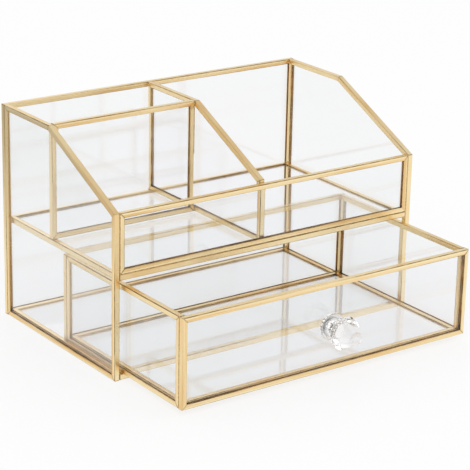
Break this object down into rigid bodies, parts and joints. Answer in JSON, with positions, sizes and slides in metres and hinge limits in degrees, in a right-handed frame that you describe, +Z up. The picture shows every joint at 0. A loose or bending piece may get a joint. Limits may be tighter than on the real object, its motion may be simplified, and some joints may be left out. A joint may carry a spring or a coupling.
{
  "type": "jewelry box",
  "caption": "Clear glass jewelry box with brass channel edges: open stepped compartments over a sliding drawer with a cut knob.",
  "frame": {"origin": "middle of the case's front bottom edge, on the surface that the box stands on", "axes": "+X to the right along the drawer's front, +Y from the front to the back, +Z up"},
  "size_m": [0.25, 0.2414, 0.155],
  "materials": {
    "clear_glass": "polished clear float glass",
    "brass": "satin folded brass",
    "clear_resin": "clear cut resin, polished",
    "clear_gasket": "clear soft ring",
    "steel": "zinc-plated steel"
  },
  "bodies": {
    "case": {"left_side_glass": "clear_glass", "left_side_came_bottom": "brass", "left_side_came_back": "brass", "left_side_came_top": "brass", "left_side_came_slope": "brass", "left_side_came_front": "brass", "right_side_glass": "clear_glass", "right_side_came_bottom": "brass", "right_side_came_back": "brass", "right_side_came_top": "brass", "right_side_came_slope": "brass", "right_side_came_front": "brass", "long_divider_glass": "clear_glass", "long_divider_came_bottom": "brass", "long_divider_came_back": "brass", "long_divider_came_top": "brass", "long_divider_came_slope": "brass", "long_divider_came_front": "brass", "cross_divider_glass": "clear_glass", "cross_divider_came_bottom": "brass", "cross_divider_came_right": "brass", "cross_divider_came_top": "brass", "cross_divider_came_left": "brass", "back_glass": "clear_glass", "back_came_bottom": "brass", "back_came_right": "brass", "back_came_top": "brass", "back_came_left": "brass", "front_glass": "clear_glass", "front_came_bottom": "brass", "front_came_right": "brass", "front_came_top": "brass", "front_came_left": "brass", "shelf_glass": "clear_glass", "shelf_came_front": "brass", "shelf_came_right": "brass", "shelf_came_back": "brass", "shelf_came_left": "brass", "base_glass": "clear_glass", "base_came_front": "brass", "base_came_right": "brass", "base_came_back": "brass", "base_came_left": "brass"},
    "drawer": {"drawer_front_glass": "clear_glass", "drawer_front_came": "brass", "drawer_back_glass": "clear_glass", "drawer_back_came": "brass", "drawer_left_glass": "clear_glass", "drawer_left_came": "brass", "drawer_right_glass": "clear_glass", "drawer_right_came": "brass", "drawer_bottom_glass": "clear_glass", "drawer_bottom_came": "brass", "knob": "clear_resin", "knob_insert": "brass", "knob_gasket": "clear_gasket", "knob_washer": "steel", "knob_screw": "steel"}
  },
  "joints": [
    {"name": "drawer_slide", "type": "slide", "parent": "case", "child": "drawer", "axis": [0, -1, 0], "range_m": [-0.07, 0.06]}
  ]
}
